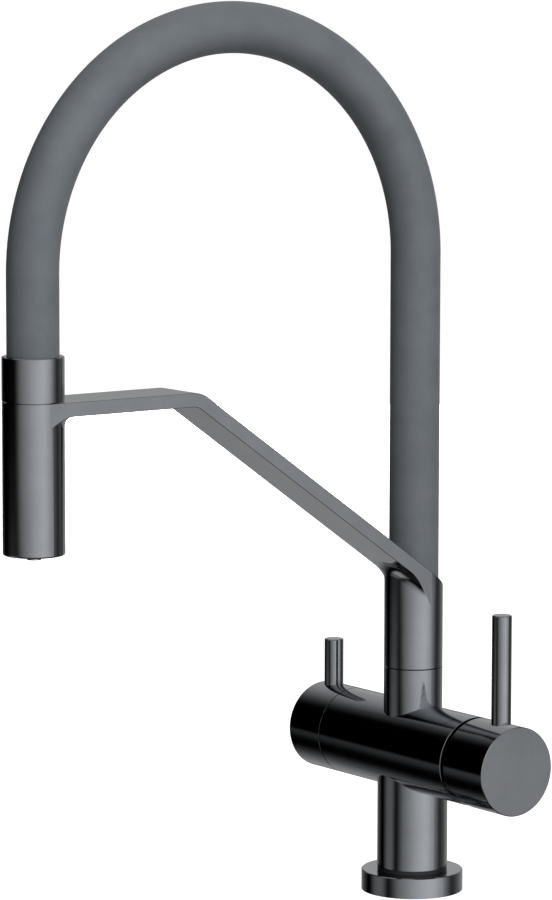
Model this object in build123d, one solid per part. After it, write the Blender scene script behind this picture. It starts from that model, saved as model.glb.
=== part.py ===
from build123d import *
import math
import os

# Kitchen mixer tap with a second, filtered-water valve.
# Millimetres. +Z is up, the deck is the plane Z = 0 and the column stands on the origin.
# The spout points along -Y, the mixing lever is at the +X end of the barrel and the
# filtered-water lever at the -X end.

# Clearances
thread_gap = 0.05
running_gap = 0.05
slide_gap = 0.15
loose_gap = 0.3

# Flange and foot
flange_radius = 26.0
flange_height = 10.5
edge_chamfer = 0.4
seam_chamfer = 0.16
gasket_inner_radius = 19.0
gasket_width = 5.0
gasket_thickness = 1.8
foot_ring_height = 2.0
foot_ring_inset = 0.2

# Fixing under the deck
deck_thickness = 30.0
shank_radius = 16.0
shank_wall = 2.0
shank_engagement = 11.5
shank_spare = 17.5
shank_pilot_inset = 0.9
shank_pilot_length = 6.0
shank_pilot_bevel = 0.5
under_seal_width = 10.0
under_seal_thickness = 2.5
clamp_washer_width = 8.5
clamp_washer_thickness = 2.0
nut_across_flats = 41.0
nut_height = 10.0
nut_bevel_angle = 30.0

# Column, barrel and neck
column_radius = 18.0
column_wall = 2.5
barrel_height = 74.4
barrel_radius = 22.5
barrel_right = 50.7
barrel_left = 50.0
neck_radius = 15.0
neck_height = 41.5

# Sockets for the three supply tails, on a circle inside the column
socket_radius = 4.5
socket_depth = 9.0
socket_circle = 8.2
socket_boss = 6.0

# Water ways drilled in the body
supply_way_radius = 2.6
mixed_way_radius = 2.7
mixed_way_offset = 5.6
filter_way_radius = 1.75
filter_way_rise = 14.0
neck_chamber_radius = 8.5
neck_chamber_height = 4.0

# Mixing cartridge, measured along the barrel from its middle
cartridge_radius = 17.4
cartridge_seat = 15.0
cartridge_base_thickness = 4.0
fixed_disc_thickness = 4.0
moving_disc_thickness = 4.0
moving_disc_radius = 10.0
housing_wall = 1.8
housing_shoulder = 4.7
housing_neck_radius = 13.6
housing_neck_wall = 1.85
housing_neck_length = 8.0
carrier_height = 7.0
carrier_half_width = 8.0
carrier_half_length = 7.0
rotor_flange_thickness = 2.7
rotor_rail_thickness = 2.85
rotor_rail_half_length = 9.0
rotor_slot_half_length = 9.2
spindle_radius = 4.0
ball_radius = 3.5
ball_neck_radius = 2.4
ball_neck_length = 5.0
ball_seat_depth = 2.5
pocket_gap = 0.1
pivot_from_ball = 14.5
pivot_pin_radius = 1.5
pivot_pin_inset = 0.5
port_radius = 2.6
port_rise = 5.0
outlet_port_radius = 3.0
outlet_port_drop = 5.0
mixing_pocket_radius = 6.0
mixing_pocket_drop = 3.0
mixing_pocket_depth = 2.0
port_seal_width = 1.2
locating_peg_radius = 1.5
locating_peg_length = 2.5
locating_peg_circle = 13.5
nut_ring_wall = 1.5
nut_ring_length = 8.5
key_slot_width = 4.0
key_slot_depth = 3.0

# Mixing cap, its dome and its lever pin
tilt_range = 20.0
cap_gap = 2.5
mixer_cap_length = 30.6
mixer_cap_rim_radius = 0.45
cap_cavity_radius = 19.6
cap_cavity_depth = 12.8
relief_start = 4.5
dome_radius = 19.0
dome_wall = 1.5
dome_height = 9.5
spindle_grip = 10.5
mixer_pin_from_face = 12.5
mixer_pin_height = 54.8
pin_radius = 5.0
pin_seat_depth = 10.0
pin_stud_radius = 3.0
pin_stud_length = 5.0
grub_radius = 2.5
grub_length = 10.0
hex_key_radius = 1.4
hex_key_depth = 2.5

# Filtered-water valve
filter_seat = 28.0
filter_bore_radius = 11.0
filter_seal_thickness = 2.0
filter_seal_radius = 9.0
filter_port_radius = 2.5
filter_cavity_radius = 8.6
filter_disc_thickness = 3.0
filter_disc_port_radius = 2.6
filter_disc_port_offset = 4.8
filter_notch_radius = 3.4
filter_notch_offset = 6.5
filter_drive_thickness = 2.3
filter_window_radius = 1.8
filter_chamber_radius = 14.0
filter_chamber_length = 6.0
filter_cavity_spare = 2.2
filter_hex_across_flats = 24.0
filter_hex_height = 4.5
filter_spindle_reach = 14.0
filter_cap_gap = 0.5
filter_cap_length = 25.7
filter_cap_rim_radius = 0.05
filter_cap_cavity_radius = 16.0
filter_cap_cavity_depth = 6.5
filter_pin_from_face = 8.9
filter_pin_height = 23.9
filter_cap_grip = 12.5
spindle_ring_section = 0.45

# Swivel between neck and collar
seam_gap = 0.6
swivel_washer_thickness = 1.2
swivel_washer_inset = 2.0
stem_radius = 10.0
stem_bore_radius = 6.6
stem_thread_radius = 11.5
stem_thread_length = 10.5
stem_shoulder_drop = 0.8
stem_height = 28.9
slide_ring_outer_radius = 11.95
slide_ring_groove_depth = 1.0
slide_ring_height = 5.0
lower_slide_ring_rise = 2.0
upper_slide_ring_drop = 3.5
stop_groove_radius = 8.4
stop_groove_height = 4.4
stop_groove_rise = 13.5
stop_range = 160.0
stop_play = 1.0
stop_tip_radius = 1.9
stop_tip_length = 3.2

# Rotary water joint at the foot of the hose
fitting_lift = 1.0
fitting_flange_thickness = 4.0
spigot_length = 13.0
spigot_gap = 0.2
spigot_wall = 2.2
riser_radius = 1.9
riser_bore_radius = 1.2
riser_entry = 2.2
riser_engagement = 5.0
chamber_floor = 1.0
chamber_radius = 7.0
chamber_height = 1.8
o_ring_section = 0.75
riser_ring_section = 0.5
riser_groove_rise = 0.6
riser_groove_height = 1.1
spigot_ring_rises = (3.5, 9.0)

# Hose and the lines in it
hose_radius = 12.7
hose_wall = 3.2
support_tube_wall = 1.0
support_gap = 0.2
mixed_line_radius = 4.0
mixed_line_wall = 1.0
mixed_line_offset = 4.2
filter_line_radius = 2.5
filter_line_wall = 0.9
filter_line_offset = -5.2
nipple_height = 10.0
mixed_nipple_wall = 0.9
filter_nipple_wall = 0.5
mixed_step = 1.2
head_mixed_step = 2.2
filter_way_turn = 1.5
way_spacing = 2.1
way_overlap = 1.5
hose_tail_length = 8.0

# Spout: collar, arm and head
spout_reach = 230.0
spout_radius = 15.0
collar_height = 49.8
arm_rise = 100.7
arm_thickness = 6.9
bend_from_head = 87.3
bend_radius = 8.0
collar_fillet = 9.0
head_fillet = 5.0
arm_edge_radius = 0.35
arm_edge_run_out = 1.5
sleeve_length = 73.6
sleeve_rim_radius = 1.0
ferrule_height = 21.1
ferrule_web = 1.7
ferrule_gap = 0.5
ferrule_spigot_length = 6.6
ferrule_spigot_wall = 3.7
straight_above_ferrule = 38.8

# Inside of the head
head_counterbore_depth = 11.0
head_bore_radius = 10.0
head_spigot_length = 18.0
head_spigot_gap = 0.1
head_ring_section = 0.55
head_ring_drop = 3.0
aerator_bore_radius = 12.5
aerator_recess = 0.8
aerator_wall = 1.4
aerator_lip = 0.6
aerator_lip_height = 1.2
aerator_height = 15.8
aerator_insert_height = 12.6
aerator_washer_thickness = 2.5
aerator_hole_radius = 0.6
aerator_hole_pitch = 2.5
aerator_ring_radii = (5.0, 7.0, 9.2)
nozzle_radius = 3.5
nozzle_bore_radius = 1.8
nozzle_drop = 2.3
nozzle_entry = 6.5

# Heights and lengths that follow from the sizes above
column_foot = flange_height + foot_ring_height
column_bore_radius = column_radius - column_wall
shank_bore_radius = shank_radius - shank_wall
shank_hole_radius = shank_radius + loose_gap
gasket_outer_radius = gasket_inner_radius + gasket_width
under_seal_top = -deck_thickness
clamp_washer_top = under_seal_top - under_seal_thickness
nut_top = clamp_washer_top - clamp_washer_thickness
nut_bottom = nut_top - nut_height
shank_bottom = nut_bottom - shank_spare
shank_top = column_foot + shank_engagement
socket_floor = barrel_height - barrel_radius - socket_boss
socket_top = socket_floor + socket_depth
neck_top = barrel_height + neck_height
collar_bottom = neck_top + seam_gap
washer_seat = collar_bottom - swivel_washer_thickness
washer_radius = neck_radius - swivel_washer_inset

base_end = cartridge_seat + cartridge_base_thickness
fixed_disc_end = base_end + fixed_disc_thickness
moving_disc_end = fixed_disc_end + moving_disc_thickness
carrier_end = moving_disc_end + carrier_height
ball_centre = carrier_end - ball_seat_depth
pivot = ball_centre + pivot_from_ball
rotor_start = carrier_end + loose_gap
rotor_flange_end = rotor_start + rotor_flange_thickness
housing_inner_radius = cartridge_radius - housing_wall
housing_roof = rotor_flange_end + loose_gap
housing_shoulder_end = housing_roof + housing_shoulder
housing_end = housing_shoulder_end + housing_neck_length
rotor_bore_radius = housing_neck_radius - housing_neck_wall
rotor_radius = rotor_bore_radius - running_gap
nut_ring_radius = cartridge_radius + nut_ring_wall
nut_ring_end = housing_shoulder_end + nut_ring_length
mixer_cap_back = barrel_right + cap_gap
mixer_cap_face = mixer_cap_back + mixer_cap_length
mixer_hub = mixer_cap_back + cap_cavity_depth
mixer_pin_x = mixer_cap_face - mixer_pin_from_face
disc_travel_per_radian = pivot_from_ball * math.sin(math.radians(tilt_range)) / math.radians(tilt_range)

filter_head_start = filter_seat + filter_seal_thickness
filter_fixed_end = filter_head_start + filter_disc_thickness
filter_moving_end = filter_fixed_end + filter_disc_thickness
filter_drive_end = filter_moving_end + filter_drive_thickness
filter_cavity_end = filter_drive_end + filter_cavity_spare
filter_window = filter_fixed_end + filter_disc_thickness / 2
filter_cap_back = barrel_left + filter_cap_gap
filter_cap_face = filter_cap_back + filter_cap_length
filter_hub = filter_cap_back + filter_cap_cavity_depth
filter_pin_x = filter_cap_face - filter_pin_from_face

stem_thread_end = washer_seat - stem_shoulder_drop
stem_bottom = stem_thread_end - stem_thread_length
stem_top = collar_bottom + stem_height
fitting_seat = stem_top + fitting_lift
fitting_flange_top = fitting_seat + fitting_flange_thickness
spigot_bottom = fitting_seat - spigot_length
spigot_radius = stem_bore_radius - spigot_gap
spigot_bore_radius = spigot_radius - spigot_wall
collar_bore_radius = slide_ring_outer_radius + running_gap
hose_seat_radius = hose_radius + slide_gap
slide_ring_inner_radius = stem_radius - slide_ring_groove_depth + running_gap
lower_ring_bottom = collar_bottom + lower_slide_ring_rise
upper_ring_bottom = stem_top - upper_slide_ring_drop - slide_ring_height
stop_height = collar_bottom + stop_groove_rise
hose_bore_radius = hose_radius - hose_wall
support_radius = hose_bore_radius - support_gap
support_bore_radius = support_radius - support_tube_wall
nipple_radius = support_bore_radius - running_gap
foot_nipple_top = fitting_flange_top + nipple_height
mixed_line_bore = mixed_line_radius - mixed_line_wall
filter_line_bore = filter_line_radius - filter_line_wall
mixed_nipple_bore = mixed_line_bore - running_gap - mixed_nipple_wall
filter_nipple_bore = filter_line_bore - running_gap - filter_nipple_wall
chamber_low = fitting_seat + chamber_floor
chamber_high = chamber_low + chamber_height
riser_top = chamber_high + riser_entry
riser_ring_height = chamber_high + riser_groove_rise + riser_groove_height / 2
riser_bottom = stem_bottom - neck_chamber_height - riser_engagement

collar_rim = collar_bottom + collar_height
arm_top = collar_rim + arm_rise
arm_bottom = arm_top - arm_thickness
sleeve_bottom = arm_top - sleeve_length
bend_y = bend_from_head - spout_reach
slope = arm_rise / -bend_y
slope_angle = math.degrees(math.atan(slope))
arm_drop = arm_thickness / math.cos(math.radians(slope_angle))
ferrule_bottom = arm_top + ferrule_gap
ferrule_top = ferrule_bottom + ferrule_height
hose_end = ferrule_bottom + ferrule_web
arch_centre = ferrule_top + straight_above_ferrule
arch_radius = spout_reach / 2
counterbore_floor = arm_top - head_counterbore_depth
ferrule_spigot_bottom = ferrule_bottom - ferrule_spigot_length
counterbore_radius = support_radius + running_gap + ferrule_spigot_wall
head_nipple_top = ferrule_spigot_bottom + nipple_height
head_spigot_bottom = counterbore_floor - head_spigot_length
head_spigot_radius = head_bore_radius - head_spigot_gap
aerator_bottom = sleeve_bottom + aerator_recess
aerator_top = aerator_bottom + aerator_height
insert_bottom = aerator_bottom + aerator_lip_height
aerator_bore_top = aerator_top + aerator_washer_thickness
nozzle_bottom = sleeve_bottom - nozzle_drop
nozzle_top = head_spigot_bottom + nozzle_entry

standing = (Align.CENTER, Align.CENTER, Align.MIN)


def rod(radius, low, high, x=0.0, y=0.0):
    """Cylinder along Z between two heights."""
    return Pos(x, y, low) * Cylinder(radius, high - low, align=standing)


def ring(outer, inner, low, high, x=0.0, y=0.0):
    """Plain ring or tube along Z."""
    return rod(outer, low, high, x, y) - rod(inner, low, high, x, y)


def block(x_low, x_high, y_low, y_high, z_low, z_high):
    """Box between six planes."""
    middle = Pos((x_low + x_high) / 2, (y_low + y_high) / 2, (z_low + z_high) / 2)
    return middle * Box(x_high - x_low, y_high - y_low, z_high - z_low)


def turned(*outline):
    """Solid turned about Z from corners given as (radius, height)."""
    corners = [(radius, 0, height) for radius, height in outline]
    return revolve(make_face(Polyline(*corners, close=True)), Axis.Z)


def cross_rod(radius, start, end):
    """Cylinder from one point to another."""
    direction = Vector(*end) - Vector(*start)
    plane = Plane(origin=start, z_dir=direction)
    return plane * Cylinder(radius, direction.length, align=standing)


def seal(major, section, height):
    """O-ring about Z."""
    return Pos(0, 0, height) * Torus(major, section)


def to_right(shape):
    """Lays a shape made along Z on the barrel axis, towards +X; its -X side turns up."""
    return Pos(0, 0, barrel_height) * Rot(0, 90, 0) * shape


def to_left(shape):
    """Lays a shape made along Z on the barrel axis, towards -X; its +X side turns up."""
    return Pos(0, 0, barrel_height) * Rot(0, -90, 0) * shape


def hex_prism(across_flats, low, high):
    """Hexagonal prism along Z."""
    return Pos(0, 0, low) * extrude(RegularPolygon(across_flats / 2, 6, major_radius=False), high - low)


def socket_places():
    """Places of the hot, cold and filtered tails inside the column."""
    turns = (-60, 60, 180)
    return [(socket_circle * math.cos(math.radians(t)), socket_circle * math.sin(math.radians(t))) for t in turns]


def base_flange():
    flange = ring(flange_radius, shank_hole_radius, 0, flange_height)
    rim = flange.edges().filter_by(GeomType.CIRCLE).sort_by(SortBy.RADIUS)[-2:].sort_by(Axis.Z)[-1]
    flange = chamfer(rim, edge_chamfer)
    return flange - ring(gasket_outer_radius, gasket_inner_radius, 0, gasket_thickness)


def deck_gasket():
    return ring(gasket_outer_radius - thread_gap, gasket_inner_radius + thread_gap, 0, gasket_thickness)


def foot_ring():
    return ring(column_radius - foot_ring_inset, shank_hole_radius, flange_height, column_foot)


def threaded_shank():
    """Hollow shank; the pilot at its free end is below the thread's root, so that the nut starts straight."""
    pilot_radius = shank_radius - shank_pilot_inset
    pilot_end = shank_bottom + shank_pilot_length
    return turned(
        (shank_bore_radius, shank_bottom),
        (pilot_radius - shank_pilot_bevel, shank_bottom),
        (pilot_radius, shank_bottom + shank_pilot_bevel),
        (pilot_radius, pilot_end),
        (shank_radius, pilot_end + shank_pilot_inset),
        (shank_radius, shank_top),
        (shank_bore_radius, shank_top),
    )


def under_deck_seal():
    inner = shank_radius + loose_gap
    return ring(inner + under_seal_width, inner, clamp_washer_top, under_seal_top)


def clamp_washer():
    inner = shank_radius + loose_gap
    return ring(inner + clamp_washer_width, inner, nut_top, clamp_washer_top)


def mounting_nut():
    nut = hex_prism(nut_across_flats, nut_bottom, nut_top)
    beyond_corner = nut_across_flats / math.sqrt(3) + 1
    bevel_rise = (beyond_corner - nut_across_flats / 2) * math.tan(math.radians(nut_bevel_angle))
    crown = turned(
        (0, nut_bottom),
        (nut_across_flats / 2, nut_bottom),
        (beyond_corner, nut_bottom + bevel_rise),
        (beyond_corner, nut_top),
        (0, nut_top),
    )
    return (nut & crown) - rod(shank_radius + thread_gap, nut_bottom, nut_top)


def body_shell():
    """Outside of the body: column, barrel with bevelled ends, and neck."""
    barrel = to_right(rod(barrel_radius, -barrel_left, barrel_right))
    barrel = chamfer(barrel.edges().filter_by(GeomType.CIRCLE), seam_chamfer)
    return rod(column_radius, column_foot, barrel_height) + barrel + rod(neck_radius, barrel_height, neck_top)


def water_ways():
    """Everything drilled between the sockets, the two valves and the neck."""
    hot, cold, filtered = socket_places()
    ways = Part()
    for x, y in (hot, cold, filtered):
        ways += rod(socket_radius, socket_floor, socket_top, x, y)
    for x, y in (hot, cold):
        port_height = barrel_height + port_rise
        ways += rod(supply_way_radius, socket_top - 1, port_height, x, y)
        ways += cross_rod(supply_way_radius, (x, y, port_height), (cartridge_seat + 1, y, port_height))
    outlet_height = barrel_height - outlet_port_drop
    neck_chamber_floor = stem_bottom - neck_chamber_height
    outlet_start = (mixed_way_offset, 0, outlet_height)
    ways += cross_rod(mixed_way_radius, outlet_start, (cartridge_seat + 1, 0, outlet_height))
    ways += rod(mixed_way_radius, outlet_height, stem_bottom, mixed_way_offset)
    ways += rod(neck_chamber_radius, neck_chamber_floor, stem_bottom)
    ways += rod(filter_port_radius, socket_top - 1, barrel_height, filtered[0])
    ways += cross_rod(filter_port_radius, (filtered[0], 0, barrel_height), (-filter_seat - 1, 0, barrel_height))
    filter_way_height = barrel_height + filter_way_rise
    ways += cross_rod(filter_way_radius, (0, 0, filter_way_height), (-filter_window, 0, filter_way_height))
    ways += rod(filter_way_radius, filter_way_height, riser_bottom)
    ways += rod(riser_radius + thread_gap, riser_bottom, neck_chamber_floor)
    return ways


def valve_body():
    right_bore = rod(cartridge_radius + running_gap, cartridge_seat, barrel_right + 1)
    right_bore += rod(nut_ring_radius + thread_gap, housing_shoulder_end - loose_gap, barrel_right + 1)
    for side in (-1, 1):
        peg_low = cartridge_seat - locating_peg_length - loose_gap
        peg_place = side * locating_peg_circle
        right_bore += rod(locating_peg_radius + running_gap, peg_low, cartridge_seat, 0, peg_place)
    left_bore = rod(filter_bore_radius + thread_gap, filter_seat, barrel_left + 1)
    half_chamber = filter_chamber_length / 2
    left_bore += rod(filter_chamber_radius, filter_window - half_chamber, filter_window + half_chamber)
    body = body_shell() - to_right(right_bore) - to_left(left_bore) - water_ways()
    body -= rod(column_bore_radius, column_foot, socket_floor)
    body -= rod(shank_radius + thread_gap, column_foot, shank_top)
    body -= rod(stem_thread_radius + thread_gap, stem_bottom, neck_top)
    return body - rod(washer_radius + thread_gap, washer_seat, neck_top)


def mixer_ports(low, high):
    """The two supply ports and the outlet port as cutting rods, in the cartridge's own frame."""
    across = socket_places()[1][1]
    cut = rod(outlet_port_radius, low, high, outlet_port_drop)
    for side in (-1, 1):
        cut += rod(port_radius, low, high, -port_rise, side * across)
    return cut


def mixer_base_seals():
    across = socket_places()[1][1]
    top = cartridge_seat + port_seal_width
    seals = ring(outlet_port_radius + port_seal_width, outlet_port_radius, cartridge_seat, top, outlet_port_drop)
    for side in (-1, 1):
        place = (-port_rise, side * across)
        seals += ring(port_radius + port_seal_width, port_radius, cartridge_seat, top, *place)
    return to_right(seals)


def mixer_cartridge_base():
    across = socket_places()[1][1]
    top = cartridge_seat + port_seal_width
    base = rod(cartridge_radius, cartridge_seat, base_end) - mixer_ports(cartridge_seat, base_end)
    base -= rod(outlet_port_radius + port_seal_width, cartridge_seat, top, outlet_port_drop)
    for side in (-1, 1):
        base -= rod(port_radius + port_seal_width, cartridge_seat, top, -port_rise, side * across)
        peg_low = cartridge_seat - locating_peg_length
        base += rod(locating_peg_radius, peg_low, cartridge_seat, 0, side * locating_peg_circle)
    return to_right(base)


def mixer_fixed_disc():
    disc = rod(housing_inner_radius - running_gap, base_end, fixed_disc_end)
    return to_right(disc - mixer_ports(base_end, fixed_disc_end))


def mixer_moving_disc():
    disc = rod(moving_disc_radius, fixed_disc_end, moving_disc_end)
    pocket_end = fixed_disc_end + mixing_pocket_depth
    return to_right(disc - rod(mixing_pocket_radius, fixed_disc_end, pocket_end, mixing_pocket_drop))


def mixer_disc_carrier():
    carrier = block(
        -carrier_half_length,
        carrier_half_length,
        -carrier_half_width,
        carrier_half_width,
        moving_disc_end,
        carrier_end,
    )
    pocket_floor = ball_centre - ball_radius - pocket_gap
    return to_right(carrier - rod(ball_radius + pocket_gap, pocket_floor, carrier_end))


def mixer_cartridge_housing():
    return to_right(
        turned(
            (housing_inner_radius, base_end),
            (cartridge_radius, base_end),
            (cartridge_radius, housing_shoulder_end),
            (housing_neck_radius, housing_shoulder_end),
            (housing_neck_radius, housing_end),
            (rotor_bore_radius, housing_end),
            (rotor_bore_radius, housing_roof),
            (housing_inner_radius, housing_roof),
        )
    )


def mixer_rotor():
    rail_inner = carrier_half_width + slide_gap
    rail_outer = rail_inner + rotor_rail_thickness
    rotor = rod(housing_inner_radius - loose_gap, rotor_start, rotor_flange_end)
    rotor += rod(rotor_radius, rotor_flange_end, housing_end)
    for low, high in ((-rail_outer, -rail_inner), (rail_inner, rail_outer)):
        rail_start = moving_disc_end + loose_gap
        rotor += block(-rotor_rail_half_length, rotor_rail_half_length, low, high, rail_start, rotor_start)
    slot_half = spindle_radius + slide_gap
    slot_length = rotor_slot_half_length
    rotor -= block(-slot_length, slot_length, -slot_half, slot_half, rotor_start, housing_end)
    pin_reach = rotor_radius - pivot_pin_inset
    return to_right(rotor - cross_rod(pivot_pin_radius, (0, -pin_reach, pivot), (0, pin_reach, pivot)))


def mixer_pivot_pin():
    pin_reach = rotor_radius - pivot_pin_inset
    return to_right(cross_rod(pivot_pin_radius, (0, -pin_reach, pivot), (0, pin_reach, pivot)))


def mixer_spindle():
    ball_neck_end = ball_centre + ball_neck_length
    spindle = Pos(0, 0, ball_centre) * Sphere(ball_radius)
    spindle += rod(ball_neck_radius, ball_centre, ball_neck_end)
    spindle += rod(spindle_radius, ball_neck_end, mixer_hub + spindle_grip)
    hole_reach = spindle_radius + 1
    hole_radius = pivot_pin_radius + running_gap
    return to_right(spindle - cross_rod(hole_radius, (0, -hole_reach, pivot), (0, hole_reach, pivot)))


def mixer_cartridge_nut():
    nut = ring(nut_ring_radius, housing_neck_radius + thread_gap, housing_shoulder_end, nut_ring_end)
    half = key_slot_width / 2
    reach = nut_ring_radius + 1
    slot_floor = nut_ring_end - key_slot_depth
    nut -= block(-half, half, -reach, -housing_neck_radius, slot_floor, nut_ring_end)
    nut -= block(-half, half, housing_neck_radius, reach, slot_floor, nut_ring_end)
    return to_right(nut)


def mixer_dome():
    """Slice of a hollow ball about the tilting axis, so the cap keeps its distance as it tilts."""
    shell = Pos(0, 0, pivot) * (Sphere(dome_radius) - Sphere(dome_radius - dome_wall))
    return to_right(shell & rod(dome_radius, nut_ring_end, nut_ring_end + dome_height))


def cap_blank(back, face, cavity_radius, hub, rim_radius):
    """Turned cap with a bevelled face, a rounded back rim and a cavity in its back."""
    cap = rod(barrel_radius, back, face)
    rims = cap.edges().filter_by(GeomType.CIRCLE).sort_by(Axis.Z)
    cap = fillet(rims[0], rim_radius)
    cap = chamfer(cap.edges().filter_by(GeomType.CIRCLE).sort_by(Axis.Z)[-1], edge_chamfer)
    return cap - rod(cavity_radius, back, hub)


def pin_socket(place):
    """Hole for a lever pin, made along +Z from the cap's axis, at the given place along the barrel."""
    stud_end = barrel_radius - pin_seat_depth - pin_stud_length
    cut = rod(pin_radius + thread_gap, barrel_radius - pin_seat_depth, barrel_radius + 1)
    cut += rod(pin_stud_radius + thread_gap, stud_end - loose_gap, barrel_radius - pin_seat_depth)
    return Pos(place, 0, barrel_height) * cut


def lever_pin(place, height):
    """Lever pin with a threaded stud, standing in a cap."""
    seat = barrel_height + barrel_radius - pin_seat_depth
    top = barrel_height + barrel_radius + height
    shaft = rod(pin_radius, seat, top, place)
    pin = chamfer(shaft.edges().filter_by(GeomType.CIRCLE).sort_by(Axis.Z)[-1], edge_chamfer)
    return pin + rod(pin_stud_radius, seat - pin_stud_length, seat, place)


def grub_hole(place):
    """Threaded hole from below the cap to its spindle."""
    low = barrel_height - barrel_radius - 1
    return rod(grub_radius + thread_gap, low, barrel_height - spindle_radius, place)


def grub_screw(place):
    """Grub screw against the spindle, with its key socket facing down."""
    top = barrel_height - spindle_radius - thread_gap
    bottom = top - grub_length
    socket = hex_prism(2 * hex_key_radius, bottom, bottom + hex_key_depth)
    return rod(grub_radius, bottom, top, place) - Pos(place, 0, 0) * socket


def mixer_cap():
    cap = cap_blank(mixer_cap_back, mixer_cap_face, cap_cavity_radius, mixer_hub, mixer_cap_rim_radius)
    cap -= rod(spindle_radius + thread_gap, mixer_hub, mixer_hub + spindle_grip + loose_gap)
    deepest = barrel_radius + 1
    relief_end = mixer_cap_back + (deepest - relief_start) * math.tan(math.radians(tilt_range))
    outline = [
        (relief_start, 0, mixer_cap_back - 1),
        (deepest, 0, mixer_cap_back - 1),
        (deepest, 0, relief_end),
        (relief_start, 0, mixer_cap_back),
    ]
    wedge = extrude(make_face(Polyline(*outline, close=True)), deepest, both=True)
    return to_right(cap - wedge) - pin_socket(mixer_pin_x) - grub_hole(mixer_pin_x)


def filter_cap():
    cavity_radius = filter_cap_cavity_radius
    cap = cap_blank(filter_cap_back, filter_cap_face, cavity_radius, filter_hub, filter_cap_rim_radius)
    cap -= rod(spindle_radius + thread_gap, filter_hub, filter_hub + filter_cap_grip)
    return to_left(cap) - pin_socket(-filter_pin_x) - grub_hole(-filter_pin_x)


def filter_seat_seal():
    return to_left(ring(filter_seal_radius, filter_port_radius, filter_seat, filter_head_start))


def filter_headpart():
    """Screwed-in valve head, with windows to the chamber round it."""
    hex_end = barrel_left + filter_hex_height
    head = rod(filter_bore_radius, filter_head_start, barrel_left)
    head += hex_prism(filter_hex_across_flats, barrel_left, hex_end)
    head -= rod(filter_cavity_radius, filter_head_start, filter_cavity_end)
    head -= rod(spindle_radius + running_gap, filter_cavity_end, hex_end)
    for turn in (0, 90):
        reach = filter_bore_radius + 1
        window = cross_rod(filter_window_radius, (-reach, 0, filter_window), (reach, 0, filter_window))
        head -= Rot(0, 0, turn) * window
    return to_left(head)


def filter_fixed_disc():
    disc = rod(filter_cavity_radius - running_gap, filter_head_start, filter_fixed_end)
    for side in (-1, 1):
        hole_place = side * filter_disc_port_offset
        disc -= rod(filter_disc_port_radius, filter_head_start, filter_fixed_end, 0, hole_place)
    return to_left(disc)


def filter_moving_disc():
    disc = rod(filter_cavity_radius - running_gap, filter_fixed_end, filter_moving_end)
    for side in (-1, 1):
        disc -= rod(filter_notch_radius, filter_fixed_end, filter_moving_end, side * filter_notch_offset)
    return to_left(disc)


def spindle_ring_place():
    return (filter_cavity_end + barrel_left) / 2


def filter_spindle():
    spindle = rod(filter_cavity_radius - running_gap, filter_moving_end, filter_drive_end)
    spindle += rod(spindle_radius, filter_drive_end, barrel_left + filter_hex_height + filter_spindle_reach)
    groove_half = spindle_ring_section + running_gap
    groove_radius = spindle_radius - 2 * spindle_ring_section
    middle = spindle_ring_place()
    return to_left(spindle - ring(spindle_radius + 1, groove_radius, middle - groove_half, middle + groove_half))


def filter_spindle_o_ring():
    return to_left(seal(spindle_radius - spindle_ring_section, spindle_ring_section, spindle_ring_place()))


def swivel_washer():
    return ring(washer_radius, stem_radius + slide_gap, washer_seat, collar_bottom)


def swivel_stem():
    """Hollow stem screwed into the neck, grooved for its slide rings and for the stop screw."""
    stem = rod(stem_thread_radius, stem_bottom, stem_thread_end) + rod(stem_radius, stem_thread_end, stem_top)
    stem -= rod(stem_bore_radius, stem_bottom, stem_top)
    groove_radius = stem_radius - slide_ring_groove_depth
    for low in (lower_ring_bottom, upper_ring_bottom):
        stem -= ring(stem_radius + 1, groove_radius, low, low + slide_ring_height)
    tip_angle = math.degrees(math.asin(stop_tip_radius / stop_groove_radius))
    groove_turn = min(2 * (stop_range + tip_angle + stop_play), 360)
    low = stop_height - stop_groove_height / 2
    groove = make_face(
        Polyline(
            (stop_groove_radius, 0, low),
            (stem_radius + 1, 0, low),
            (stem_radius + 1, 0, low + stop_groove_height),
            (stop_groove_radius, 0, low + stop_groove_height),
            close=True,
        )
    )
    return stem - Rot(0, 0, 90 - groove_turn / 2) * revolve(groove, Axis.Z, groove_turn)


def slide_ring(low):
    return ring(slide_ring_outer_radius, slide_ring_inner_radius, low, low + slide_ring_height)


def stop_screw():
    """Grub screw at the back of the collar; its tip runs in the stem's part-turn groove."""
    tip = stop_groove_radius + loose_gap
    thread_start = tip + stop_tip_length
    screw = rod(stop_tip_radius, tip, thread_start)
    screw += rod(grub_radius, thread_start, spout_radius - loose_gap)
    key_floor = spout_radius - loose_gap - hex_key_depth
    screw -= hex_prism(2 * hex_key_radius, key_floor, spout_radius)
    return Pos(0, 0, stop_height) * Rot(-90, 0, 0) * screw


def line_ways(nipple_top, mixed_low, filter_low):
    """Bores of the two nipples that carry the water lines."""
    stub_top = nipple_top + hose_tail_length
    cut = rod(mixed_nipple_bore, mixed_low, stub_top, mixed_line_offset)
    return cut + rod(filter_nipple_bore, filter_low, stub_top, filter_line_offset)


def line_stubs(nipple_top):
    """The two small nipples that the water lines are pushed over."""
    stub_top = nipple_top + hose_tail_length
    stubs = rod(mixed_line_bore - running_gap, nipple_top, stub_top, mixed_line_offset)
    return stubs + rod(filter_line_bore - running_gap, nipple_top, stub_top, filter_line_offset)


def filter_crossing(height):
    """Way that leads the filtered water from the middle out to its line."""
    return cross_rod(riser_bore_radius, (0, 0, height), (filter_line_offset, 0, height))


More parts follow.
